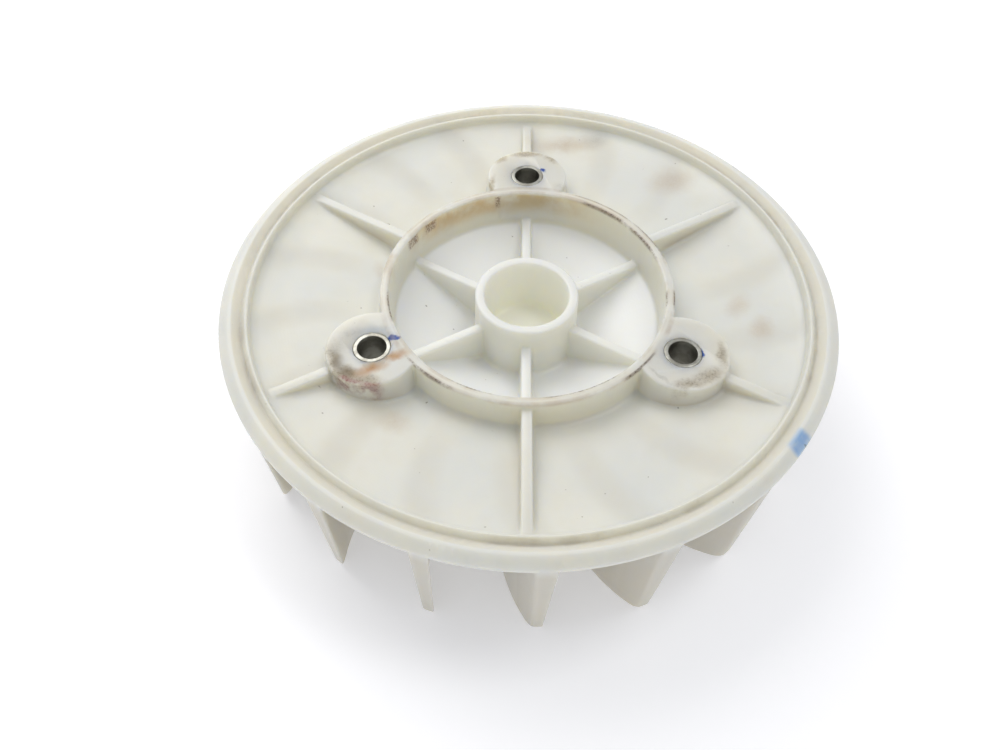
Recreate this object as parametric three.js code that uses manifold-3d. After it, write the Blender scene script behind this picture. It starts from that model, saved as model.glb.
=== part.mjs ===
// Cooling fan wheel of a small engine's magneto flywheel: one nylon moulding with three
// steel bolt sleeves. It lies on its blade tips at z = 0, with the mounting side up.
import * as THREE from 'three';
import { mergeVertices } from 'three/addons/utils/BufferGeometryUtils.js';
import Module from 'manifold-3d';

const wasm = await Module();
wasm.setup();

// ---- driving dimensions, millimetres ----
const WHEEL_R = 70;          // outer edge of the rim
const FACE_Z = 35.5;         // mounting face: ring top and bolt pads, above the blade tips
const ROUND_STEPS = 72;      // facets round the wheel, a multiple of blades and of pads

const BLADES = 18;
const BLADE_TIP_R = 68.4;
const BLADE_ROOT_R = 69.6;
const BLADE_INNER_R = 47.5;  // clear of the bolt heads
const BLADE_FLAT_R = 55;     // inside this radius the free edge climbs towards the disc
const BLADE_INNER_Z = 15;    // height of the free edge at its inner end
const BLADE_RADIAL_R = 38;   // the blade's curve would be radial at this radius
const BLADE_CORNER_R = 2.2;  // rounding of the free corner
const BLADE_LEAN = THREE.MathUtils.degToRad(36);   // against the radial direction, at the tip
const BLADE_START = THREE.MathUtils.degToRad(-87.3);
const BLADE_TIP_T = 2.1;
const BLADE_ROOT_T = 3.6;    // all of the mould draft is on one side

const BORE_R = 10.03;        // blind bore of the hub
const BORE_FLOOR_R = 9.6;
const BORE_FLOOR_Z = FACE_Z - 17.2;
const HUB_R = 12.15;
const HUB_TOP_Z = FACE_Z - 3.2;

const RING_IN_R = 32.08;
const RING_OUT_R = 34.1;

const RIB_W = 2.2;
const RIB_INNER_Z = FACE_Z - 8;
const RIB_OUTER_Z = FACE_Z - 1.4;
const RIB_COUNT = 6;

const PAD_PCD_R = 39;        // bolt circle radius
const PAD_R = 10.2;
const PAD_ANGLES = [90, 210, 330];
const PAD_STEPS = 36;
const SEAT_R = 7.5;          // bolt head seat on the blade side
const SEAT_Z = FACE_Z - 11;

const BUSH_OUT_R = 4.2;
const BUSH_IN_R = 3.15;      // clearance for M6
const BUSH_LIP = 0.35;       // bevel at both mouths
const BUSH_STEPS = 32;

// ---- disc heights: the dish rises from the hub, and flattens before it meets the rim ----
const DISH = [
  { r: 12.5, top: FACE_Z - 18, under: FACE_Z - 20.4 },
  { r: 32, top: FACE_Z - 9.4, under: FACE_Z - 11.6 },
  { r: 34.5, top: FACE_Z - 7.5, under: FACE_Z - 9.7 },
  { r: 48, top: FACE_Z - 5, under: FACE_Z - 7.1 },
  { r: 57.5, top: FACE_Z - 3.1, under: FACE_Z - 5.1 },
  { r: 62, top: FACE_Z - 1.7, under: FACE_Z - 3.4 },
  { r: 63.4, top: FACE_Z - 0.9, under: FACE_Z - 2.8 },
  { r: WHEEL_R, top: FACE_Z, under: FACE_Z - 1.4 },
];

// Middle height of the disc's wall at radius r, used to bury the feet of ribs and blades.
function dishMiddle(r) {
  let outer = DISH.findIndex((station) => station.r >= r);
  if (outer < 1) {
    outer = r > WHEEL_R ? DISH.length - 1 : 1;
  }
  const a = DISH[outer - 1];
  const b = DISH[outer];
  const t = THREE.MathUtils.clamp((r - a.r) / (b.r - a.r), 0, 1);
  return THREE.MathUtils.lerp((a.top + a.under) / 2, (b.top + b.under) / 2, t);
}

// ---- solids ----
function solid(geometry) {
  const bare = geometry.clone();
  bare.deleteAttribute('normal');
  bare.deleteAttribute('uv');
  const merged = mergeVertices(bare, 1e-5);
  return new wasm.Manifold(new wasm.Mesh({
    numProp: 3,
    vertProperties: new Float32Array(merged.attributes.position.array),
    triVerts: new Uint32Array(merged.index.array),
  }));
}

function geometryOf(manifold) {
  const mesh = manifold.getMesh();
  const geometry = new THREE.BufferGeometry();
  geometry.setAttribute('position', new THREE.BufferAttribute(mesh.vertProperties, 3));
  geometry.setIndex(new THREE.BufferAttribute(mesh.triVerts, 1));
  geometry.computeVertexNormals();
  return geometry;
}

function joined(manifolds) {
  return manifolds.reduce((whole, piece) => whole.add(piece));
}

// A profile of [radius, height] pairs turned about Z.
function turned(profile, steps) {
  const points = profile.map(([r, z]) => new THREE.Vector2(r, z));
  return new THREE.LatheGeometry(points, steps).rotateX(Math.PI / 2);
}

// A box whose corners are moved by place(u, v, w), with u, v and w between 0 and 1.
function shapedBox(lengthSteps, heightSteps, place) {
  const box = new THREE.BoxGeometry(1, 1, 1, lengthSteps, 1, heightSteps);
  const position = box.attributes.position;
  const moved = new THREE.Vector3();
  for (let i = 0; i < position.count; i += 1) {
    place(position.getX(i) + 0.5, position.getY(i) + 0.5, position.getZ(i) + 0.5, moved);
    position.setXYZ(i, moved.x, moved.y, moved.z);
  }
  return box;
}

function turnedDisc() {
  const [hub, ringIn, ringOut, ...field] = DISH.slice(0, -1);
  const foot = field[field.length - 1];
  return turned([
    [0, BORE_FLOOR_Z],
    [BORE_FLOOR_R - 1.4, BORE_FLOOR_Z],
    [BORE_FLOOR_R, BORE_FLOOR_Z + 1.4],
    [BORE_R, HUB_TOP_Z - 0.25],
    [BORE_R + 0.25, HUB_TOP_Z],
    [HUB_R - 0.25, HUB_TOP_Z],
    [HUB_R, HUB_TOP_Z - 0.25],
    [hub.r, hub.top + 1.4],
    [hub.r + 1.5, hub.top + 0.8],
    [ringIn.r - 1.6, ringIn.top - 0.4],
    [ringIn.r - 0.3, ringIn.top + 1],
    [RING_IN_R, FACE_Z],
    [RING_OUT_R, FACE_Z],
    [ringOut.r - 0.1, ringOut.top + 1.2],
    [ringOut.r + 1.1, ringOut.top + 0.3],
    ...field.map((station) => [station.r, station.top]),
    [foot.r + 0.2, FACE_Z + 1.35],
    [foot.r + 0.6, FACE_Z + 1.35],
    [65.15, FACE_Z + 0.1],
    [67, FACE_Z + 1.5],
    [67.6, FACE_Z + 1.5],
    [WHEEL_R, FACE_Z + 0.2],
    [WHEEL_R, FACE_Z - 0.9],
    [WHEEL_R - 0.5, FACE_Z - 1.4],
    ...field.map((station) => [station.r, station.under]).reverse(),
    [ringOut.r, ringOut.under],
    [ringIn.r, ringIn.under],
    [hub.r, hub.under],
    [7, hub.under - 0.4],
    [0, hub.under - 0.6],
  ].reverse(), ROUND_STEPS);
}

// A straight rib from one radius to another; its foot is buried in the disc's wall.
function rib(fromR, toR, topZ, angle, steps) {
  const geometry = shapedBox(steps, 1, (u, v, w, out) => {
    const r = THREE.MathUtils.lerp(fromR, toR, u);
    const width = w > 0.5 ? RIB_W : RIB_W + 0.5;
    out.set(r, (v - 0.5) * width, w > 0.5 ? topZ : dishMiddle(r));
  });
  return solid(geometry.rotateZ(angle));
}

// Height of a blade's free edge: on the table outside, climbing to the disc inside,
// with a quarter circle at the outer corner.
function bladeFreeEdge(r) {
  if (r < BLADE_FLAT_R) {
    const t = (BLADE_FLAT_R - r) / (BLADE_FLAT_R - BLADE_INNER_R);
    return t * t * BLADE_INNER_Z;
  }
  const past = r - (BLADE_TIP_R - BLADE_CORNER_R);
  if (past <= 0) {
    return 0;
  }
  const reach = Math.min(past, BLADE_CORNER_R);
  return BLADE_CORNER_R - Math.sqrt(BLADE_CORNER_R ** 2 - reach ** 2);
}

// Radii of the blade's stations, closer together round the outer corner.
function bladeStations() {
  const stations = [BLADE_INNER_R, 50, 52.5, BLADE_FLAT_R, 60];
  const cornerSteps = 4;
  for (let i = 0; i <= cornerSteps; i += 1) {
    const turn = (i / cornerSteps) * (Math.PI / 2);
    stations.push(BLADE_TIP_R - BLADE_CORNER_R + BLADE_CORNER_R * Math.sin(turn));
  }
  return stations;
}

// How far round the wheel a blade has turned from its tip: it leans most at the tip.
function bladeTurn(r) {
  const inward = BLADE_TIP_R - r;
  const whole = BLADE_TIP_R - BLADE_RADIAL_R;
  return -(Math.tan(BLADE_LEAN) / BLADE_TIP_R) * (inward - inward ** 2 / (2 * whole));
}

function blade(index) {
  const stations = bladeStations();
  const last = stations.length - 1;
  const start = BLADE_START + (index / BLADES) * 2 * Math.PI;
  const geometry = shapedBox(last, 1, (u, v, w, out) => {
    const r = stations[Math.round(u * last)];
    const root = w > 0.5;
    const z = root ? dishMiddle(r) : bladeFreeEdge(r);
    const outward = root ? r * (BLADE_ROOT_R / BLADE_TIP_R) : r;
    const lean = BLADE_LEAN * ((r - BLADE_RADIAL_R) / (BLADE_TIP_R - BLADE_RADIAL_R));
    const draft = (z / FACE_Z) * (BLADE_ROOT_T - BLADE_TIP_T);
    const across = ((v - 0.5) * BLADE_TIP_T + v * draft) / Math.cos(lean);
    const angle = start + bladeTurn(r) + across / outward;
    out.set(outward * Math.cos(angle), outward * Math.sin(angle), z);
  });
  return solid(geometry);
}

function padPlace(degrees) {
  const angle = THREE.MathUtils.degToRad(degrees);
  return [PAD_PCD_R * Math.cos(angle), PAD_PCD_R * Math.sin(angle)];
}

// A bolt pad flush with the ring's top, with the bolt head's seat under the disc.
function pad(degrees) {
  const [x, y] = padPlace(degrees);
  const middle = dishMiddle(PAD_PCD_R);
  const above = turned([
    [0, middle],
    [PAD_R + 0.5, middle],
    [PAD_R, FACE_Z - 0.3],
    [PAD_R - 0.3, FACE_Z],
    [0, FACE_Z],
  ], PAD_STEPS);
  const below = turned([[0, SEAT_Z], [SEAT_R, SEAT_Z], [SEAT_R + 0.3, middle], [0, middle]], PAD_STEPS);
  return solid(above).add(solid(below)).translate([x, y, 0]);
}

// The pads end at the ring's inner wall, so the room inside the ring stays round.
function roomInsideRing() {
  return solid(turned([
    [0, FACE_Z - 30],
    [DISH[1].r - 0.3, DISH[1].top + 1],
    [RING_IN_R, FACE_Z],
    [RING_IN_R + 0.1, FACE_Z + 2],
    [0, FACE_Z + 2],
  ], ROUND_STEPS));
}

function fanWheel() {
  const pads = joined(PAD_ANGLES.map(pad)).subtract(roomInsideRing());
  const pieces = [solid(turnedDisc()), pads];
  for (let i = 0; i < RIB_COUNT; i += 1) {
    const angle = Math.PI / 6 + (i / RIB_COUNT) * 2 * Math.PI;
    pieces.push(rib(11, 33, RIB_INNER_Z, angle, 1));
    pieces.push(rib(33, 63.8, RIB_OUTER_Z, angle, 4));
  }
  for (let i = 0; i < BLADES; i += 1) {
    pieces.push(blade(i));
  }
  const holes = PAD_ANGLES.map((degrees) => {
    const [x, y] = padPlace(degrees);
    const hole = [[0, 0], [BUSH_OUT_R, 0], [BUSH_OUT_R, FACE_Z + 3], [0, FACE_Z + 3]];
    return solid(turned(hole, BUSH_STEPS)).translate([x, y, 0]);
  });
  return geometryOf(joined(pieces).subtract(joined(holes)));
}

// A plain sleeve, flush with the pad above and with the bolt head's seat below.
function bush() {
  const profile = [
    [BUSH_IN_R + BUSH_LIP, SEAT_Z],
    [BUSH_OUT_R, SEAT_Z],
    [BUSH_OUT_R, FACE_Z],
    [BUSH_IN_R + BUSH_LIP, FACE_Z],
    [BUSH_IN_R, FACE_Z - BUSH_LIP],
    [BUSH_IN_R, SEAT_Z + BUSH_LIP],
    [BUSH_IN_R + BUSH_LIP, SEAT_Z],
  ];
  return turned(profile, BUSH_STEPS);
}

// ---- the assembly ----
const wheel = new THREE.Group();

const nylon = new THREE.MeshStandardMaterial({ color: 0xe3e1d2, roughness: 0.45, metalness: 0 });
const moulding = new THREE.Mesh(fanWheel(), nylon);
moulding.name = 'fan_wheel';
wheel.add(moulding);

PAD_ANGLES.forEach((degrees, index) => {
  const steel = new THREE.MeshStandardMaterial({ color: 0x9a9a96, roughness: 0.3, metalness: 1 });
  const sleeve = new THREE.Mesh(bush(), steel);
  const [x, y] = padPlace(degrees);
  sleeve.name = `bush_${index + 1}`;
  sleeve.position.set(x, y, 0);
  wheel.add(sleeve);
});

export default wheel;
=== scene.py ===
"""Looks of the cooling fan wheel: the nylon moulding, its three steel sleeves, the table it
lies on, the light and the camera. Lengths are millimetres until a piece is finished."""
import math

import bmesh
import bpy
import numpy as np
from mathutils import Euler, Matrix, Vector


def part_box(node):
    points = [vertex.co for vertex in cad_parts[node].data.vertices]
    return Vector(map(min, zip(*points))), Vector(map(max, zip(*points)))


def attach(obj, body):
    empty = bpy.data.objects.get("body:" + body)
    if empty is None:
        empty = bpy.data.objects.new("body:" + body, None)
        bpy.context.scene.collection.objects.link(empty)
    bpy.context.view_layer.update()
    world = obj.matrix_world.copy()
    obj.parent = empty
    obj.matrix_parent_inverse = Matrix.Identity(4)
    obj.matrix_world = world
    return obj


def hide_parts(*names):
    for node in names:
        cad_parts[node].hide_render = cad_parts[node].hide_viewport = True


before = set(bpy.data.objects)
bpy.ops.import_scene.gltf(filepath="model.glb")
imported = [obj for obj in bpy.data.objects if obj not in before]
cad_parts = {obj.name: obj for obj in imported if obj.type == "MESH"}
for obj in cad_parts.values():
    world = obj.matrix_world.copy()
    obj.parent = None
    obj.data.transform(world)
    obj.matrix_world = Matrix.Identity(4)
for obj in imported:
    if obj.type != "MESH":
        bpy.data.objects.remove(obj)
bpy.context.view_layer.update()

MM = 0.001

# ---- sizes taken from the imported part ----
wheel_low, wheel_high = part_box("fan_wheel")
SLEEVES = ["bush_1", "bush_2", "bush_3"]
WHEEL_R = (wheel_high.x - wheel_low.x) / 2 / MM
FACE_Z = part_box(SLEEVES[0])[1].z / MM


def sleeve_sizes(node):
    """Centre, outer radius, lowest and highest level of a sleeve."""
    low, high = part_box(node)
    centre = (low + high) / 2 / MM
    return centre.x, centre.y, (high.x - low.x) / 2 / MM, low.z / MM, high.z / MM


# ---- sizes of the moulding ----
DISC_TOP = [(12.5, -18.0), (32.0, -9.4), (34.5, -7.5), (48.0, -5.0),
            (57.5, -3.1), (62.0, -1.7), (63.4, -0.9), (70.0, 0.0)]
DISC_UNDER = [(12.5, -20.4), (32.0, -11.6), (34.5, -9.7), (48.0, -7.1),
              (57.5, -5.1), (62.0, -3.4), (63.4, -2.8), (70.0, -1.4)]
BORE_R, HUB_R, HUB_DROP = 10.03, 12.15, 3.2
RING_IN_R, RING_OUT_R = 32.08, 34.1
PAD_R, SEAT_R, SEAT_DROP = 10.2, 7.5, 11.0
RIB_W, RIB_ROUNDING, RIBS = 2.2, 0.3, 6
INNER_RIB = (11, 33, 8)             # from radius, to radius, top below the ring's face
OUTER_RIB = (33, 63.8, 1.4)
BLADES = 18
BLADE_TIP_R, BLADE_ROOT_R = 68.4, 69.6
BLADE_INNER_R, BLADE_FLAT_R, BLADE_INNER_Z, BLADE_RADIAL_R = 47.5, 55.0, 15.0, 38.0
BLADE_CORNER_R = 2.2
BLADE_EDGE_R = 0.5
BLADE_LEAN = math.radians(36)
BLADE_START = math.radians(-87.3)
BLADE_TIP_T, BLADE_ROOT_T = 2.1, 3.6
SLEEVE_WALL = 1.05
SLEEVE_GAP = 0.04                   # round a sleeve's lip, in the drilled hole
RIM_FROM_R = 62.8
RIM_FILLET, UNDER_FILLET, TOP_FILLET = 0.3, 1.0, 1.5
GRAIN = 0.32      # fineness of the joined moulding
FILLET_ROUNDS = 45
DISC_STEPS = 288
PAD_STEPS = 96
RING_STEPS, SLEEVE_STEPS, ARC_STEPS = 288, 96, 6
MOST_TRIANGLES = 180000
SKIN_MARGIN = 0.01                  # the moulding stays this far inside the part's box


# ---- shaping ----
def softened(corners):
    """A profile whose corners (radius, height, rounding) are turned into arcs."""
    line = []
    for i, (r, z, rounding) in enumerate(corners):
        here = Vector((r, z))
        if rounding == 0 or i in (0, len(corners) - 1):
            line.append(here)
            continue
        back = Vector(corners[i - 1][:2]) - here
        ahead = Vector(corners[i + 1][:2]) - here
        half = back.angle(ahead) / 2
        if half > math.radians(89.5):
            line.append(here)
            continue
        reach = min(rounding / math.tan(half), back.length * 0.48, ahead.length * 0.48)
        start, end = here + back.normalized() * reach, here + ahead.normalized() * reach
        for k in range(ARC_STEPS + 1):
            t = k / ARC_STEPS
            line.append(start * (1 - t) ** 2 + here * (2 * t * (1 - t)) + end * t ** 2)
    return line


def turned(corners, steps, place=(0, 0)):
    """A closed solid turned about an upright axis from a profile."""
    bm = bmesh.new()
    line = [bm.verts.new((p.x, 0, p.y)) for p in softened(corners)]
    edges = [bm.edges.new(pair) for pair in zip(line, line[1:])]
    bmesh.ops.spin(bm, geom=line + edges, cent=(0, 0, 0), axis=(0, 0, 1),
                   angle=2 * math.pi, steps=steps, use_merge=True, use_duplicate=False)
    bmesh.ops.remove_doubles(bm, verts=bm.verts, dist=1e-4)
    bmesh.ops.recalc_face_normals(bm, faces=bm.faces)
    bmesh.ops.translate(bm, verts=bm.verts, vec=(place[0], place[1], 0))
    return bm


def shaped_block(long_cuts, high_cuts, rounding, place):
    """A block whose points are moved by place(along, across, up), each from 0 to 1, and
    whose outer edges are then rounded where a rounding is given."""
    bm = bmesh.new()
    bmesh.ops.create_cube(bm, size=1)
    for axis, cuts in ((0, long_cuts), (2, high_cuts)):
        edges = [e for e in bm.edges
                 if abs(e.verts[0].co[axis] - e.verts[1].co[axis]) > 0.5]
        bmesh.ops.subdivide_edges(bm, edges=edges, cuts=cuts, use_grid_fill=True)
    for v in bm.verts:
        v.co = place(v.co.x + 0.5, v.co.y + 0.5, v.co.z + 0.5)
    bmesh.ops.recalc_face_normals(bm, faces=bm.faces)
    if rounding:
        sharp = [e for e in bm.edges if e.calc_face_angle(0) > math.radians(38)]
        bmesh.ops.bevel(bm, geom=sharp, offset=rounding, offset_type="OFFSET", affect="EDGES",
                        segments=4, profile=0.5, material=-1, clamp_overlap=True)
    return bm


def gathered(name, parts):
    """One object holding several shaped solids."""
    whole = bmesh.new()
    for part in parts:
        carrier = bpy.data.meshes.new("carrier")
        part.to_mesh(carrier)
        part.free()
        whole.from_mesh(carrier)
        bpy.data.meshes.remove(carrier)
    mesh = bpy.data.meshes.new(name)
    whole.to_mesh(mesh)
    whole.free()
    piece = bpy.data.objects.new(name, mesh)
    bpy.context.scene.collection.objects.link(piece)
    return piece


def with_modifier(piece, kind, **settings):
    """Adds a modifier and applies it to the mesh at once."""
    modifier = piece.modifiers.new(kind.title(), kind)
    for key, value in settings.items():
        setattr(modifier, key, value)
    made = bpy.data.meshes.new_from_object(
        piece.evaluated_get(bpy.context.evaluated_depsgraph_get()))
    piece.modifiers.clear()
    spent, piece.data = piece.data, made
    bpy.data.meshes.remove(spent)


def height_at(table, r):
    """Height of a disc surface at a radius, above the table."""
    return FACE_Z + float(np.interp(r, [p[0] for p in table], [p[1] for p in table]))


def middle(r):
    """Height halfway through the disc at a radius."""
    return (height_at(DISC_TOP, r) + height_at(DISC_UNDER, r)) / 2


# ---- the moulding ----
def disc():
    """The turned body: bore, hub, dished field, ring, rim with its groove, and underside."""
    top = [(0, -17.2, 0), (9.6, -17.2, 2.0), (BORE_R, -HUB_DROP, 0.4), (HUB_R, -HUB_DROP, 0.4),
           (12.5, -18.0, 1.6), (31.75, -9.5, 1.6), (RING_IN_R, 0, 0.3), (RING_OUT_R, 0, 0.3),
           (34.4, -7.5, 1.5), (48, -5, 60), (57.5, -3.1, 40), (62, -1.7, 6), (63.3, -0.9, 0.4),
           (63.6, 1.35, 0.15), (64.05, 1.35, 0.15), (65.15, 0.1, 0.1), (66.9, 1.5, 0.2),
           (67.7, 1.5, 0.4), (WHEEL_R, 0.2, 0.2), (WHEEL_R, -0.9, 0.3), (69.5, -1.4, 0.3)]
    under = [(63.4, -2.8, 3), (62, -3.4, 3), (57.5, -5.1, 40), (48, -7.1, 60), (34.5, -9.7, 6),
             (32, -11.6, 6), (12.5, -20.4, 12), (7, -20.8, 6), (0, -21, 0)]
    corners = [(r, FACE_Z + z, rounding) for r, z, rounding in top + under]
    return turned(corners, DISC_STEPS)


def rib(from_r, to_r, drop, angle):
    """A straight rib that stands on the disc, a little wider at its foot."""
    turn = Matrix.Rotation(angle, 3, "Z")
    top = FACE_Z - drop

    def place(along, across, up):
        r = from_r + (to_r - from_r) * along
        foot = middle(r)
        width = RIB_W + 0.5 * (1 - up)
        return turn @ Vector((r, (across - 0.5) * width, foot + (top - foot) * up))
    return shaped_block(11, 3, RIB_ROUNDING, place)


def pad(x, y):
    """A bolt pad flush with the ring, with the bolt head's seat under the disc."""
    inside = middle(math.hypot(x, y))
    seat = FACE_Z - SEAT_DROP
    above = turned([(0, inside, 0), (PAD_R + 0.5, inside, 0), (PAD_R, FACE_Z, 0.4),
                    (0, FACE_Z, 0)], PAD_STEPS, (x, y))
    below = turned([(0, seat, 0), (SEAT_R, seat, 0.5), (SEAT_R + 0.3, inside, 0),
                    (0, inside, 0)], PAD_STEPS, (x, y))
    return [above, below]


def room_inside_ring():
    """What is cut off the pads, so that they end at the ring's inner wall."""
    return turned([(0, FACE_Z - 30, 0), (31.6, FACE_Z - 8.6, 0), (RING_IN_R, FACE_Z, 0),
                   (RING_IN_R + 0.1, FACE_Z + 2, 0), (0, FACE_Z + 2, 0)], RING_STEPS)


def free_edge(r):
    """Height of a blade's free edge: flat on the table, with a rounded outer corner."""
    if r < BLADE_FLAT_R:
        t = (BLADE_FLAT_R - r) / (BLADE_FLAT_R - BLADE_INNER_R)
        return t * t * BLADE_INNER_Z
    past = min(max(r - (BLADE_TIP_R - BLADE_CORNER_R), 0), BLADE_CORNER_R)
    return BLADE_CORNER_R - math.sqrt(BLADE_CORNER_R ** 2 - past ** 2)


def blade_turn(r):
    """How far a blade's curve has turned back at a radius, against its tip."""
    inward = BLADE_TIP_R - r
    whole = BLADE_TIP_R - BLADE_RADIAL_R
    return -(math.tan(BLADE_LEAN) / BLADE_TIP_R) * (inward - inward ** 2 / (2 * whole))


def edge_loss(distance):
    """How much a blade's half thickness loses to its rounded edge, near that edge."""
    short = max(BLADE_EDGE_R - distance, 0)
    return BLADE_EDGE_R - math.sqrt(max(BLADE_EDGE_R ** 2 - short ** 2, 0))


def blade(index):
    """A curved blade, thicker at its root, with rounded free edges."""
    start = BLADE_START + 2 * math.pi * index / BLADES
    corner = BLADE_TIP_R - BLADE_CORNER_R
    straight = np.linspace(BLADE_INNER_R, corner, 13)[:-1]
    rounded = corner + BLADE_CORNER_R * np.sin(np.linspace(0, math.pi / 2, 13))
    stations = [*straight, *rounded]
    levels = [0, 0.05, 0.15, 0.3, 0.5, 2, 6, 12, 18, 24, 30, 40]

    def place(along, across, up):
        r = stations[round(along * (len(stations) - 1))]
        low = free_edge(r)
        above = levels[round(up * (len(levels) - 1))]
        z = min(low + above, middle(r))
        outward = r * (1 + (BLADE_ROOT_R / BLADE_TIP_R - 1) * z / FACE_Z)
        lean = BLADE_LEAN * (r - BLADE_RADIAL_R) / (BLADE_TIP_R - BLADE_RADIAL_R)
        loss = min(edge_loss(BLADE_TIP_R - r) + edge_loss(above), BLADE_EDGE_R)
        thick = (across - 0.5) * (BLADE_TIP_T - 2 * loss)
        thick += across * (z / FACE_Z) * (BLADE_ROOT_T - BLADE_TIP_T)
        angle = start + blade_turn(r) + thick / math.cos(lean) / outward
        return Vector((outward * math.cos(angle), outward * math.sin(angle), z))
    return shaped_block(len(stations) - 2, len(levels) - 2, 0, place)


def points_of(mesh):
    """The places of a mesh's points, as rows."""
    points = np.empty(len(mesh.vertices) * 3)
    mesh.vertices.foreach_get("co", points)
    return points.reshape(-1, 3)


def skin_pull(mesh):
    """Gives a function that says how far each point lies from the middle of its neighbours."""
    count = len(mesh.vertices)
    ends = np.empty(len(mesh.edges) * 2, dtype=np.int32)
    mesh.edges.foreach_get("vertices", ends)
    a, b = ends.reshape(-1, 2).T
    share = np.bincount(ends, minlength=count)

    def pull(points):
        total = [np.bincount(a, points[b, k], count) + np.bincount(b, points[a, k], count)
                 for k in range(3)]
        return np.stack([part / share for part in total], 1) - points
    return pull


def evened(mesh, rounds):
    """Takes the steps out of a joined skin."""
    points, pull = points_of(mesh), skin_pull(mesh)
    for _ in range(rounds):
        points += pull(points) * 0.5
    mesh.vertices.foreach_set("co", points.ravel())
    mesh.update()


def fill_corners(mesh, rounds):
    """Fills the inner corners of the moulding with soft fillets, as resin does, and leaves
    its outer edges. Each point moves outwards only, where the surface is hollow."""
    points, pull = points_of(mesh), skin_pull(mesh)
    distance = np.hypot(points[:, 0], points[:, 1])
    inner = np.where(points[:, 2] < FACE_Z - 12, UNDER_FILLET, TOP_FILLET)
    radius = np.where(distance > RIM_FROM_R, RIM_FILLET, inner)
    keep = (GRAIN ** 2 / 4 / radius)[:, None]
    normals = np.empty(points.size)
    for _ in range(rounds):
        mesh.vertex_normals.foreach_get("vector", normals)
        out = normals.reshape(-1, 3)
        lift = (pull(points) * out).sum(1, keepdims=True)
        points += np.maximum(lift - keep, 0) * out * 0.9
        mesh.vertices.foreach_set("co", points.ravel())
        mesh.update()
    points[:, 2] = np.clip(points[:, 2], SKIN_MARGIN, wheel_high.z / MM - SKIN_MARGIN)
    squeeze = np.minimum(1, (WHEEL_R - SKIN_MARGIN) / np.maximum(np.hypot(*points[:, :2].T), 1))
    points[:, :2] *= squeeze[:, None]
    mesh.vertices.foreach_set("co", points.ravel())
    mesh.update()


def fan_wheel():
    """The whole moulding: its solids joined, the corners filled, and the holes drilled."""
    pads = [solid for node in SLEEVES for solid in pad(*sleeve_sizes(node)[:2])]
    bosses = gathered("bosses", pads)
    hollow = gathered("hollow", [room_inside_ring()])
    with_modifier(bosses, "BOOLEAN", operation="DIFFERENCE", object=hollow, solver="EXACT",
                  use_self=True)
    parts = [disc()]
    for k in range(RIBS):
        angle = math.radians(30 + 60 * k)
        parts += [rib(*INNER_RIB, angle), rib(*OUTER_RIB, angle)]
    parts += [blade(k) for k in range(BLADES)]
    cut_bosses = bmesh.new()
    cut_bosses.from_mesh(bosses.data)
    parts.append(cut_bosses)
    wheel = gathered("nylon_fan_wheel", parts)
    for spare in (bosses, hollow):
        bpy.data.objects.remove(spare)
    exact = bpy.data.objects.new("exact", wheel.data.copy())
    bpy.context.scene.collection.objects.link(exact)
    with_modifier(wheel, "REMESH", mode="VOXEL", voxel_size=GRAIN, adaptivity=0)
    evened(wheel.data, 2)
    with_modifier(wheel, "SHRINKWRAP", target=exact, wrap_method="NEAREST_SURFACEPOINT")
    fill_corners(wheel.data, FILLET_ROUNDS)
    bpy.data.objects.remove(exact)
    triangles = sum(len(p.vertices) - 2 for p in wheel.data.polygons)
    with_modifier(wheel, "DECIMATE", ratio=min(1, MOST_TRIANGLES / triangles))
    drills = []
    for node in SLEEVES:
        x, y, outer, low, high = sleeve_sizes(node)
        wide = outer + SLEEVE_GAP
        drills.append(turned([(0, low - 2, 0), (outer, low - 2, 0), (outer, high - 0.05, 0),
                              (wide, high + 0.02, 0), (wide, high + 1, 0), (0, high + 1, 0)],
                             SLEEVE_STEPS, (x, y)))
    drill = gathered("drill", drills)
    with_modifier(wheel, "BOOLEAN", operation="DIFFERENCE", object=drill, solver="EXACT")
    bpy.data.objects.remove(drill)
    return wheel


def sleeve(node, name):
    """A turned steel sleeve with rolled lips."""
    x, y, outer, low, high = sleeve_sizes(node)
    bore = outer - SLEEVE_WALL
    corners = [(bore + 0.3, low, 0.2), (outer - 0.12, low, 0.1), (outer - 0.01, low + 0.15, 0.1),
               (outer - 0.01, high - 0.3, 0.2), (outer - 0.2, high, 0.15),
               (bore + 0.1, high, 0.1), (bore, high - 0.12, 0.08), (bore, low + 0.3, 0.2)]
    corners = [corners[-1], *corners, corners[0]]
    bm = bmesh.new()
    line = [bm.verts.new((p.x, 0, p.y)) for p in softened(corners)[1:-1]]
    edges = [bm.edges.new(pair) for pair in zip(line, line[1:] + line[:1])]
    bmesh.ops.spin(bm, geom=line + edges, cent=(0, 0, 0), axis=(0, 0, 1),
                   angle=2 * math.pi, steps=SLEEVE_STEPS, use_merge=True, use_duplicate=False)
    bmesh.ops.remove_doubles(bm, verts=bm.verts, dist=1e-4)
    bmesh.ops.recalc_face_normals(bm, faces=bm.faces)
    bmesh.ops.translate(bm, verts=bm.verts, vec=(x, y, 0))
    return gathered(name, [bm])


def finished(piece, node, material, smooth_angle):
    """Brings a piece to metres, gives it its finish and puts it in the frame."""
    piece.data.transform(Matrix.Scale(MM, 4))
    piece.data.materials.clear()
    piece.data.materials.append(material)
    piece.data.shade_smooth()
    if smooth_angle:
        piece.data.set_sharp_from_angle(angle=math.radians(smooth_angle))
    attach(piece, "root")
    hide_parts(node)


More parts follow.
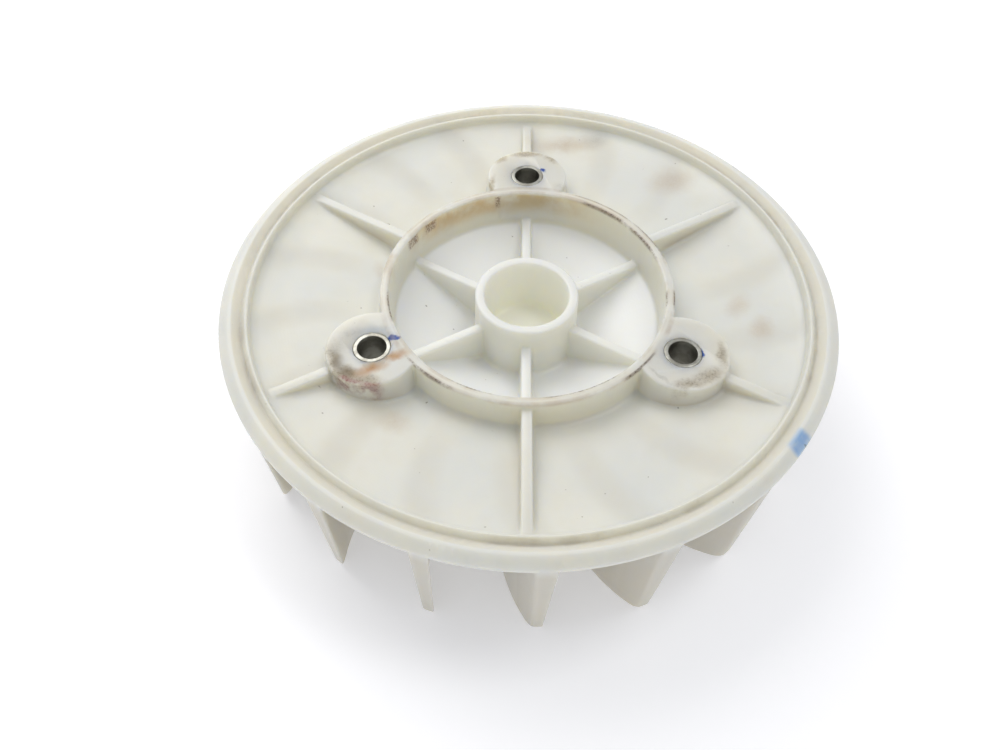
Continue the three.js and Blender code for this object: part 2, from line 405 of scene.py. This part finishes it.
# ---- finishes ----
class Amount:
    """A number that varies over a surface. Sums on it add Math nodes."""

    def __init__(self, finish, socket):
        self.finish, self.socket = finish, socket

    def sum(self, operation, first, second):
        return self.finish.amount("ShaderNodeMath", {"operation": operation},
                                  {0: first, 1: second})

    def __add__(self, other): return self.sum("ADD", self, other)
    def __radd__(self, other): return self.sum("ADD", other, self)
    def __sub__(self, other): return self.sum("SUBTRACT", self, other)
    def __rsub__(self, other): return self.sum("SUBTRACT", other, self)
    def __mul__(self, other): return self.sum("MULTIPLY", self, other)
    def __truediv__(self, other): return self.sum("DIVIDE", self, other)
    def __or__(self, other): return self.sum("MAXIMUM", self, other)


class Finish:
    """A material, with the few ways in which its pattern is made."""

    def __init__(self, name, **constants):
        self.material = bpy.data.materials.new(name)
        self.material.use_nodes = True
        self.nodes = self.material.node_tree.nodes
        self.links = self.material.node_tree.links
        self.shader = self.nodes["Principled BSDF"]
        for key, value in constants.items():
            self.shader.inputs[key.replace("_", " ")].default_value = value
        self.place = self.node("ShaderNodeTexCoord").outputs["Object"]

    def node(self, kind, settings=None, sockets=None):
        node = self.nodes.new(kind)
        for key, value in (settings or {}).items():
            setattr(node, key, value)
        for key, value in (sockets or {}).items():
            self.feed(node.inputs[key], value)
        return node

    def feed(self, socket, value):
        if isinstance(value, Amount):
            value = value.socket
        if isinstance(value, bpy.types.NodeSocket):
            self.links.new(value, socket)
        else:
            socket.default_value = value

    def amount(self, kind, settings=None, sockets=None, output=0):
        return Amount(self, self.node(kind, settings, sockets).outputs[output])

    def noise(self, size, detail, rough):
        """Cloudy variation, size in millimetres."""
        return self.amount("ShaderNodeTexNoise", None,
                           {"Vector": self.place,
                            "Scale": 1 / (size * MM), "Detail": detail, "Roughness": rough})

    def ease(self, value, from_low, from_high, low=0.0, high=1.0):
        """Goes softly from low to high while value goes between two limits."""
        return self.amount("ShaderNodeMapRange", {"interpolation_type": "SMOOTHSTEP"},
                           {"Value": value, "From Min": from_low, "From Max": from_high,
                            "To Min": low, "To Max": high})

    def band(self, value, centre, half, soft):
        """One inside centre +- half, and zero past a soft border."""
        off = self.amount("ShaderNodeMath", {"operation": "ABSOLUTE"}, {0: value - centre})
        return self.ease(off, half + soft, half)

    def tinted(self, under, over, share):
        node = self.node("ShaderNodeMix", {"data_type": "RGBA"},
                         {0: share, 6: under, 7: over})
        return node.outputs[2]

    def spot(self, place, x, y, long, wide, turn=0, soft=0.6):
        """A soft oval stain on the surfaces facing up, in millimetres and degrees."""
        moved = self.node("ShaderNodeMapping", {"vector_type": "TEXTURE"},
                          {"Vector": place, "Location": (x * MM, y * MM, FACE_Z * MM),
                           "Rotation": (0, 0, math.radians(turn)),
                           "Scale": (long * MM, wide * MM, 12 * MM)}).outputs[0]
        far = self.amount("ShaderNodeVectorMath", {"operation": "LENGTH"}, {0: moved}, 1)
        return self.ease(far, 1.0, 1 - soft)

    def bump(self, height, depth):
        """Relief of a given depth in millimetres."""
        self.feed(self.shader.inputs["Normal"], self.node(
            "ShaderNodeBump", None,
            {"Height": height, "Distance": depth * MM, "Strength": 1.0}).outputs[0])


class Nylon(Finish):
    """The moulding's resin. Its colour is laid on in washes, each over what is there."""

    def __init__(self, name, **constants):
        super().__init__(name, **constants)
        split = self.node("ShaderNodeSeparateXYZ", None, {0: self.place}).outputs
        x, y, self.z = (Amount(self, socket) / MM for socket in split)
        self.r = self.amount("ShaderNodeMath", {"operation": "SQRT"}, {0: x * x + y * y})
        self.turn = self.amount("ShaderNodeMath", {"operation": "ARCTAN2"}, {0: y, 1: x})
        self.turn = self.turn * (180 / math.pi)
        self.faces_up = self.ease(self.amount(
            "ShaderNodeSeparateXYZ", None,
            {0: self.node("ShaderNodeNewGeometry").outputs["Normal"]}, 2), 0.3, 0.7)
        self.cloud = self.noise(24, 3, 0.55)
        self.blotch = self.noise(7, 4, 0.6)
        self.grit = self.noise(0.6, 4, 0.7)
        self.fine = self.noise(0.45, 2, 0.5)
        self.grains = self.ease(self.grit, 0.46, 0.64)
        self.worn = self.ragged_place(2.4)
        self.colour = self.tinted((0.69, 0.7, 0.68, 1), (0.73, 0.725, 0.675, 1),
                                  self.ease(self.cloud, 0.35, 0.65))

    def ragged_place(self, reach):
        """The place on the wheel, shifted here and there, so that stains get ragged borders."""
        ragged = self.node("ShaderNodeTexNoise", None,
                           {"Vector": self.place, "Scale": 1 / (reach * MM), "Detail": 4})
        shake = self.node("ShaderNodeVectorMath", {"operation": "MULTIPLY_ADD"},
                          {0: ragged.outputs["Color"], 1: (reach * MM,) * 3, 2: self.place})
        return self.node("ShaderNodeVectorMath", {"operation": "SUBTRACT"},
                         {0: shake.outputs[0], 1: (reach / 2 * MM,) * 3}).outputs[0]

    def wash(self, red, green, blue, share):
        """Lays a colour over the moulding, as strongly as share says."""
        self.colour = self.tinted(self.colour, (red, green, blue, 1), share)

    def level(self, start, end):
        """Goes from none to full between two levels, given from the ring's face."""
        return self.ease(self.z, FACE_Z + start, FACE_Z + end)

    def spots(self, *places):
        """Several ragged stains, each x, y, half length, half width, turn and softness."""
        stain = self.spot(self.worn, *places[0])
        for place in places[1:]:
            stain = stain | self.spot(self.worn, *place)
        return stain

    def sector(self, *centre_half_soft):
        """A stretch of the way round the wheel, in degrees."""
        return self.band(self.turn, *centre_half_soft)


def shade_resin(nylon):
    """The resin's colour, with painted light on the thick sides, and in the middle, floor and bore
    inside the ring.
    """
    r, faces_up = nylon.r, nylon.faces_up
    nylon.wash(0.68, 0.65, 0.56, nylon.ease(nylon.blotch, 0.45, 0.8) * 0.25)

    # painted light: faces that do not face up, on the hub, ribs, pads and ring, get a lighter,
    # yellower tint for light seen through the thick resin
    sides = (1 - faces_up) * nylon.level(-12, -9) * nylon.ease(r, 64, 62)
    nylon.wash(0.8, 0.78, 0.67, sides * 0.45)

    # painted light: the middle inside the ring is tinted lighter, for the light that falls in there
    inside = nylon.ease(r, 31.9, 31.0) * nylon.level(-19, -18.2)
    nylon.wash(0.83, 0.83, 0.79, inside * 0.6)
    # painted light: the floor inside the ring, where it faces up, is tinted lighter and cooler
    # still
    pan = inside * faces_up * nylon.ease(r, 12.6, 14) * nylon.level(-8.2, -8.8)
    nylon.wash(0.8, 0.81, 0.82, pan * 0.5)
    # painted light: the bore's wall and floor are tinted lighter
    bore = nylon.ease(r, 10.6, 10.1) * nylon.level(-3, -4)
    nylon.wash(0.91, 0.895, 0.81, bore * 0.85)


def shade_blades(nylon):
    """Painted shade of the blades' roots seen through the thin disc, and painted shade on the
    blades and the underside below the disc.
    """
    # painted shade: the field over each blade's root is tinted darker, in a beat of one per blade
    # round the wheel
    inward = BLADE_TIP_R - nylon.r
    whole = 2 * (BLADE_TIP_R - BLADE_RADIAL_R)
    bend = math.degrees(math.tan(BLADE_LEAN) / BLADE_TIP_R)
    root = nylon.turn - math.degrees(BLADE_START) - 1.5 + (inward - inward * inward / whole) * bend
    beat = nylon.amount("ShaderNodeMath", {"operation": "COSINE"},
                        {0: root * math.radians(BLADES)})
    field = nylon.ease(nylon.r, 38, 46) * nylon.ease(nylon.r, 64, 60) * nylon.level(-12, -9)
    nylon.wash(0.6, 0.57, 0.48, nylon.ease(beat, -0.2, 1.0) * field * nylon.cloud * 0.4)
    # painted shade: faces below the disc that do not face up, on the blades and the underside, are
    # tinted darker and browner
    below = nylon.level(-1.5, -6) * nylon.ease(nylon.r, 36, 42) * (1 - nylon.faces_up)
    nylon.wash(0.56, 0.51, 0.41, below * 0.45)


def dull_faces_and_shade_rim(nylon):
    """Handling has dulled the ring and the pads; the rim's ridge is tinted darker, and its inward
    slope gets painted shade.
    """
    touched = nylon.level(-0.6, -0.1) * nylon.ease(nylon.r, 52, 50)
    nylon.wash(0.64, 0.6, 0.5, touched * (nylon.blotch * 0.4 + 0.05))
    # painted shade: the rim's inward-facing slope between the groove and the crest is tinted darker
    # beige
    slope = nylon.band(nylon.r, 66.1, 0.75, 0.3) * nylon.level(-1, 0)
    nylon.wash(0.64, 0.6, 0.48, slope * 0.45)
    # the rim's inner ridge is tinted darker yellow-brown
    ridge = nylon.band(nylon.r, 64.3, 0.7, 0.3) * nylon.level(-1, 0)
    nylon.wash(0.6, 0.58, 0.49, ridge * 0.5)


def stain_pads(nylon):
    """Grease, rust and ink on the pads and near them. Gives how stained each place is."""
    spots, blotch, grains = nylon.spots, nylon.blotch, nylon.grains

    # old grease that has soaked in
    tan = spots((49.5, -1.5, 6, 4, 60, 1), (53.5, -9, 5.5, 4, 70, 1), (38, 41, 9, 6, 0, 1),
                (-33.4, 6.4, 2.5, 5, 0, 1), (-36.2, 10.6, 3, 5, 0, 1),
                (-27.7, -35.1, 6, 5, 0, 1), (10, 56, 14, 4, 0, 1))
    nylon.wash(0.46, 0.34, 0.21, tan * (blotch * 0.4 + nylon.fine * 0.35 + 0.06))

    # newer grease: a soft cloud with fine black grains in it
    brown = spots((34.2, -28.0, 5.5, 2, 8, 1), (38.5, -25.8, 5, 2.6, 25, 0.9),
                  (42.1, -20.1, 1.8, 5, 0, 1), (0, 48.0, 8, 2, 0, 1), (-7.3, 45.6, 3.2, 2, 40, 1),
                  (6.7, 45.9, 3.2, 2, -40, 1), (-9.2, 35.5, 1.2, 4.5, -8, 1),
                  (-38.4, -26.6, 6, 3, -25, 0.8), (-34, -28.4, 5, 2, 0, 0.9),
                  (-41.6, -23, 2.6, 5, 20, 1))
    nylon.wash(0.31, 0.24, 0.13, brown * (blotch * 0.5 + 0.25))
    nylon.wash(0.12, 0.085, 0.045, brown * grains * 0.4)
    heart = spots((-38, -26.6, 4.6, 2.8, -20, 1), (-41, -23.5, 2.4, 4.4, 15, 1))
    nylon.wash(0.21, 0.155, 0.08, heart * (blotch * 0.5 + 0.4))

    # rust that has run from a sleeve, and a red line of it on the pad's edge
    rust = spots((-28.9, -21.8, 5, 1.8, 22, 1), (-33.4, -25.2, 5.4, 2.8, 30, 1))
    nylon.wash(0.5, 0.27, 0.1, rust * 0.8)
    edge_rust = spots((-37.5, -28.3, 4.2, 0.9, -16, 0.8), (-33, -29.4, 3.4, 0.8, 4, 0.8))
    nylon.wash(0.27, 0.05, 0.065, edge_rust * (grains * 0.3 + 0.4))
    grey = spots((-41, -19.5, 3.5, 5, 0, 1), (8.5, 34.6, 3, 2.4, 0, 1), (-38.6, -15.8, 4, 3, 0, 1),
                 (18.9, 57.1, 5, 3.5, 0, 1), (28, -25.7, 4, 0.5, -48, 0.6),
                 (-40.2, -24, 3, 4, 0, 1))
    nylon.wash(0.36, 0.35, 0.32, grey * (grains * 0.15 + 0.25))

    # marking ink: thin where it was wiped, and a dab by each sleeve
    thin_ink = spots((-33, -14.6, 6.5, 2.2, 12, 1), (-30.4, -16.3, 2.4, 1.8, 10, 0.6))
    nylon.wash(0.25, 0.42, 0.62, thin_ink * 0.2)
    ink = spots((-29.4, -16.8, 1.6, 1.2, 10, 0.4), (37.6, -19.5, 0.7, 1.8, 0),
                (4.1, 41.2, 1.1, 1.0))
    nylon.wash(0.01, 0.075, 0.34, ink)
    return tan | brown | rust | grey


def stain_ring(nylon):
    """Black grease caught on the ring's edges, and what has run down its inner wall."""
    r, blotch, sector = nylon.r, nylon.blotch, nylon.sector
    on_ring = nylon.level(-1.2, -0.2) * nylon.ease(r, 35.4, 34.6)
    inner = nylon.band(r, 32.2, 0.1, 0.28)
    outer = nylon.band(r, 33.95, 0.1, 0.28)
    edges = nylon.band(r, 32.3, 0.2, 0.8) | nylon.band(r, 33.9, 0.2, 0.7)
    nylon.wash(0.4, 0.31, 0.23,
               edges * on_ring * nylon.ease(nylon.cloud + blotch, 0.75, 1.25) * 0.5)
    arcs = (sector(43, 24, 5) * outer | sector(40, 20, 6) * inner |
            sector(-7, 3, 3) * (inner | outer) | sector(-167, 6, 4) * inner |
            sector(-129, 8, 5) * outer | sector(-112, 6, 5) * inner |
            sector(-44, 6, 4) * outer | sector(-69, 12, 5) * inner)
    nylon.wash(0.13, 0.095, 0.07,
               arcs * on_ring * (nylon.ease(blotch, 0.35, 0.58) * 0.55 + nylon.grains * 0.4))
    wall = nylon.band(r, 31.9, 0.5, 0.4) * nylon.level(-0.3, -1)
    yellow = sector(106, 26, 30) * nylon.level(-7.5, -3) * wall
    nylon.wash(0.58, 0.43, 0.17, yellow * nylon.ease(blotch, 0.2, 0.7) * 0.65)
    smudges = (sector(151, 2.5, 2) | sector(139, 2.2, 2)) * nylon.level(-3.6, -2.8)
    drip = sector(103.5, 0.5, 1.3) * nylon.level(-4.8, -3)
    nylon.wash(0.24, 0.12, 0.05,
               (smudges | drip) * wall * (nylon.ease(nylon.fine, 0.4, 0.6) * 0.55 + 0.15))


def stain_rim(nylon):
    """Dirt in the rim's groove, in patches round the wheel."""
    sector = nylon.sector
    groove = nylon.band(nylon.r, 64.8, 0.35, 0.9) * nylon.level(-1, 0)
    dirty = (sector(34, 16, 8) | sector(98, 8, 8) * 0.6 | sector(156, 9, 6) | sector(-18, 7, 5) |
             sector(-158, 8, 6) | sector(-87, 8, 4) | sector(-64, 4, 3))
    nylon.wash(0.24, 0.19, 0.12,
               groove * (dirty * 0.22 + 0.02) * nylon.ease(nylon.blotch, 0.3, 0.7))


def ejector_pins(nylon):
    """The faint round marks that the mould's six ejector pins leave on the disc."""
    size, pin_r = 6.5, 49.65
    pins = nylon.spot(nylon.place, 11.5, -48.3, size, size, 0, 0.1)
    for k in range(1, 6):
        angle = math.radians(-76.6 + 60 * k)
        pins = pins | nylon.spot(nylon.place, pin_r * math.cos(angle), pin_r * math.sin(angle),
                                 size, size, 0, 0.1)
    return pins


def moulded_nylon():
    """The moulding's finish: the resin, its age and stains, its sheen and its relief."""
    nylon = Nylon("natural nylon", Subsurface_Weight=1.0, Subsurface_Scale=0.004,
                  Subsurface_Radius=(1.0, 0.92, 0.72), Subsurface_Anisotropy=0.5,
                  IOR=1.53, Specular_IOR_Level=0.5)
    cloud, blotch = nylon.cloud, nylon.blotch
    shade_resin(nylon)
    shade_blades(nylon)
    dull_faces_and_shade_rim(nylon)
    stained = stain_pads(nylon)
    smear = nylon.sector(-38.3, 1.6, 1.4) * nylon.ease(nylon.r, 66.4, 68)
    nylon.wash(0.1, 0.33, 0.68, smear * nylon.faces_up * nylon.ease(blotch, 0.3, 0.6, 0.2, 0.65))
    stain_ring(nylon)
    stain_rim(nylon)
    speck = nylon.ease(nylon.noise(1.4, 1, 0.4), 0.79, 0.83) * nylon.faces_up
    nylon.wash(0.12, 0.09, 0.06, speck * 0.55)
    nylon.feed(nylon.shader.inputs["Base Color"], nylon.colour)
    nylon.feed(nylon.shader.inputs["Roughness"], 0.27 + cloud * 0.1 + blotch * 0.08 +
               (stained | nylon.ease(nylon.r, 63, 64)) * 0.2)

    wave = nylon.noise(9, 2, 0.5)
    turning = nylon.amount("ShaderNodeMath", {"operation": "SINE"}, {0: nylon.r * 9.0 + cloud * 14})
    nylon.bump(wave * 0.9 + blotch * 0.25 + nylon.grit * 0.08 + nylon.fine * 0.03 +
               turning * 0.01 + ejector_pins(nylon) * 0.12, 0.12)
    return nylon.material


def plated_steel(name, x, y):
    """Plating for a sleeve centred at x, y: patchy and turned, with painted shade down its bore and
    along its lip's outer edge.
    """
    finish = Finish(name, Metallic=1.0)
    centred = finish.node("ShaderNodeMapping", {"vector_type": "TEXTURE"},
                          {"Vector": finish.place, "Location": (x * MM, y * MM, 0)}).outputs[0]
    across, along, up = finish.node("ShaderNodeSeparateXYZ", None, {0: centred}).outputs
    across, along = Amount(finish, across) / MM, Amount(finish, along) / MM
    up = Amount(finish, up) / MM
    r = finish.amount("ShaderNodeMath", {"operation": "SQRT"}, {0: across * across + along * along})
    scuff = finish.noise(0.8, 4, 0.6)
    patch = finish.noise(2.6, 3, 0.5)
    colour = finish.tinted((0.5, 0.5, 0.45, 1), (0.32, 0.31, 0.27, 1),
                           finish.ease(patch, 0.4, 0.6))
    # painted shade: the sleeve's bore is tinted darker below the face
    bore_shade = finish.ease(up, FACE_Z - 0.3, FACE_Z - 1.5) * finish.ease(r, 3.7, 3.4)
    colour = finish.tinted(colour, (0.1, 0.095, 0.075, 1), bore_shade * 0.45)
    # painted shade: the lip's outer edge beside the plastic is tinted darker, broken up by scuff
    # noise
    edge = finish.ease(r, 3.9, 4.15)
    colour = finish.tinted(colour, (0.16, 0.14, 0.12, 1),
                           edge * finish.ease(scuff, 0.35, 0.6) * 0.35)
    finish.feed(finish.shader.inputs["Base Color"], colour)
    finish.feed(finish.shader.inputs["Roughness"], 0.22 + scuff * 0.2 + bore_shade * 0.15)
    cuts = finish.amount("ShaderNodeMath", {"operation": "SINE"}, {0: r * 60.0 + up * 40.0})
    finish.bump(cuts * 0.3 + scuff, 0.012)
    return finish.material


def table_paper():
    """A white, even table."""
    finish = Finish("white table", Specular_IOR_Level=0.25, Emission_Strength=0.25,
                    Emission_Color=(0.97, 0.97, 1, 1))
    haze = finish.noise(160, 2, 0.5)
    finish.feed(finish.shader.inputs["Base Color"], finish.tinted(
        (0.95, 0.95, 0.975, 1), (0.965, 0.965, 0.98, 1), haze))
    finish.feed(finish.shader.inputs["Roughness"], 0.45 + haze * 0.1)
    return finish.material


# ---- pieces ----
finished(fan_wheel(), "fan_wheel", moulded_nylon(), 0)
for number, node in enumerate(SLEEVES, 1):
    centre_x, centre_y = sleeve_sizes(node)[:2]
    finished(sleeve(node, f"steel_sleeve_{number}"), node,
             plated_steel(f"plated steel {number}", centre_x, centre_y), 50)


# ---- table, light and camera ----
TABLE_R = 3     # metres


def table():
    """The floor that the wheel lies on."""
    bm = bmesh.new()
    bmesh.ops.create_circle(bm, cap_ends=True, segments=64, radius=TABLE_R)
    mesh = bpy.data.meshes.new("table")
    bm.to_mesh(mesh)
    bm.free()
    top = bpy.data.objects.new("table", mesh)
    bpy.context.scene.collection.objects.link(top)
    top.data.materials.append(table_paper())


def soft_box(name, place, size, power, colour):
    """A square light that looks at the middle of the wheel."""
    light = bpy.data.lights.new(name, "AREA")
    light.shape, light.size = "SQUARE", size
    light.energy, light.color = power, colour
    lamp = bpy.data.objects.new(name, light)
    bpy.context.scene.collection.objects.link(lamp)
    lamp.location = place
    lamp.rotation_euler = (-Vector(place)).to_track_quat("-Z", "Y").to_euler()


table()
soft_box("window", (-0.2, 0.26, 0.42), 0.4, 1.3, (1.0, 0.985, 0.96))
soft_box("ceiling", (0.43, 0.13, 1.12), 0.35, 2.2, (0.98, 0.99, 1.0))

world = bpy.data.worlds.new("studio")
world.use_nodes = True
world.node_tree.nodes["Background"].inputs["Color"].default_value = (0.97, 0.98, 1.0, 1)
world.node_tree.nodes["Background"].inputs["Strength"].default_value = 0.54
bpy.context.scene.world = world
bpy.context.scene.view_settings.view_transform = "Standard"

lens = bpy.data.cameras.new("camera")
lens.lens, lens.sensor_width, lens.sensor_fit = 28.013, 36, "HORIZONTAL"
lens.clip_start, lens.clip_end = 0.01, 20
eye = bpy.data.objects.new("camera", lens)
bpy.context.scene.collection.objects.link(eye)
eye.location = Vector((-3.69, -125.23, 167.28)) * MM
eye.rotation_euler = Euler([math.radians(a) for a in (36.855, -0.015, 1.204)], "XYZ")
bpy.context.scene.camera = eye

bpy.context.view_layer.update()
